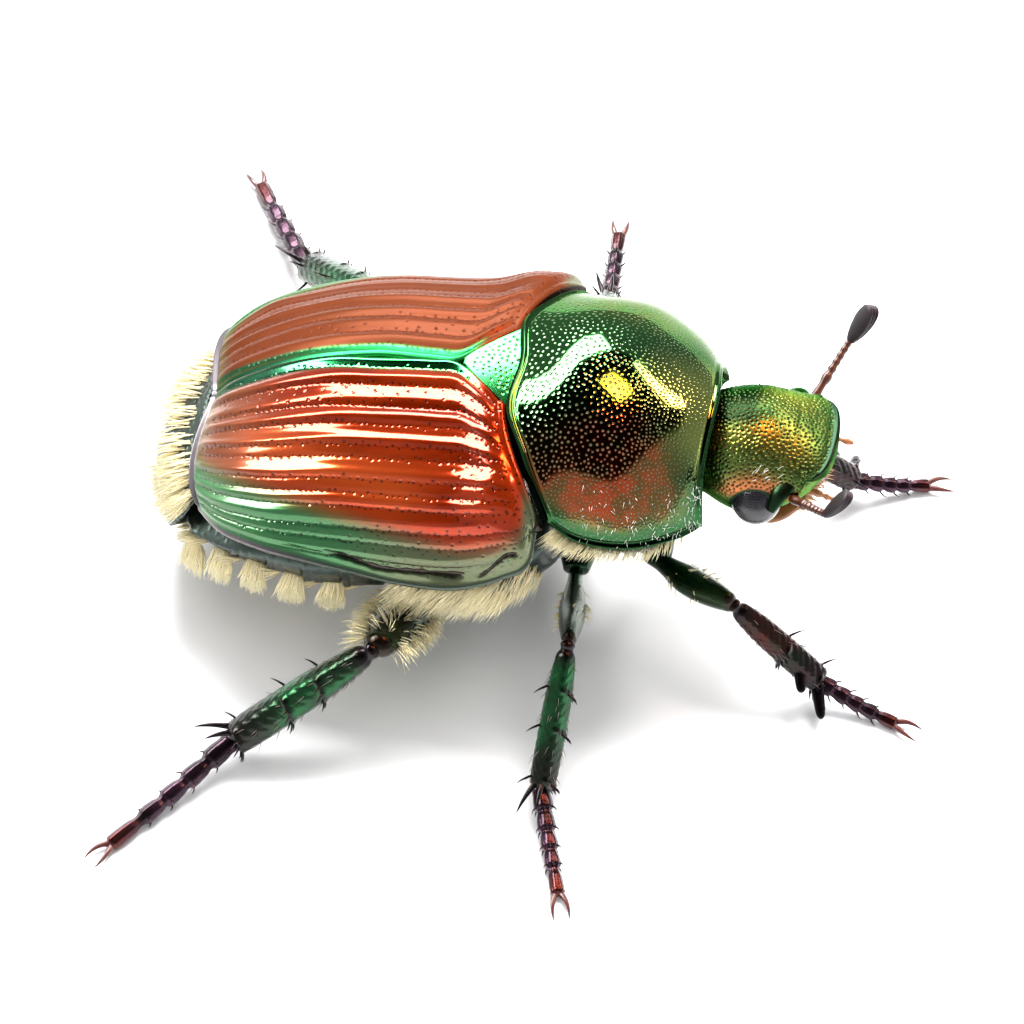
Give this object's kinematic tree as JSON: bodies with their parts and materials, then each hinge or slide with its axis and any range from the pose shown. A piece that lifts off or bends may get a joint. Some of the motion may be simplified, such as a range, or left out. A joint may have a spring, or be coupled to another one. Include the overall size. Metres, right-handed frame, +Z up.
{
  "type": "beetle model",
  "caption": "Life-size still model of a Japanese beetle standing on its feet, with a metallic green body, ridged coppery wing cases, white side tufts, and clubbed feelers held up.",
  "frame": {"origin": "on the floor, under the middle of the whole beetle's bounding box, legs and feelers included", "axes": "+X towards the head along the body, +Y towards the beetle's left, +Z up"},
  "size_m": [0.0132, 0.0152, 0.0057],
  "materials": {
    "metallic_green_plate": "smooth, pitted, with a metallic green gloss",
    "dark_green_plate": "satin dark green, under short pale fur",
    "coppery_wing_case": "glossy copper brown, ridged",
    "black_eye": "polished",
    "red_brown_horn": "satin",
    "purple_black_horn": "satin"
  },
  "bodies": {
    "root": {"abdomen": "dark_green_plate", "antenna_left_club": "purple_black_horn", "antenna_left_stalk": "red_brown_horn", "antenna_right_club": "purple_black_horn", "antenna_right_stalk": "red_brown_horn", "elytron_left": "coppery_wing_case", "elytron_right": "coppery_wing_case", "eye_left": "black_eye", "eye_right": "black_eye", "head": "metallic_green_plate", "leg_front_left_femur": "metallic_green_plate", "leg_front_left_tarsus": "purple_black_horn", "leg_front_left_tibia": "dark_green_plate", "leg_front_right_femur": "metallic_green_plate", "leg_front_right_tarsus": "purple_black_horn", "leg_front_right_tibia": "dark_green_plate", "leg_hind_left_femur": "metallic_green_plate", "leg_hind_left_tarsus": "purple_black_horn", "leg_hind_left_tibia": "dark_green_plate", "leg_hind_right_femur": "metallic_green_plate", "leg_hind_right_tarsus": "purple_black_horn", "leg_hind_right_tibia": "dark_green_plate", "leg_mid_left_femur": "metallic_green_plate", "leg_mid_left_tarsus": "purple_black_horn", "leg_mid_left_tibia": "dark_green_plate", "leg_mid_right_femur": "metallic_green_plate", "leg_mid_right_tarsus": "purple_black_horn", "leg_mid_right_tibia": "dark_green_plate", "mouthparts": "red_brown_horn", "palp_left": "red_brown_horn", "palp_right": "red_brown_horn", "pronotum": "metallic_green_plate", "pygidium": "dark_green_plate", "scutellum": "metallic_green_plate", "thorax": "dark_green_plate"}
  },
  "joints": []
}
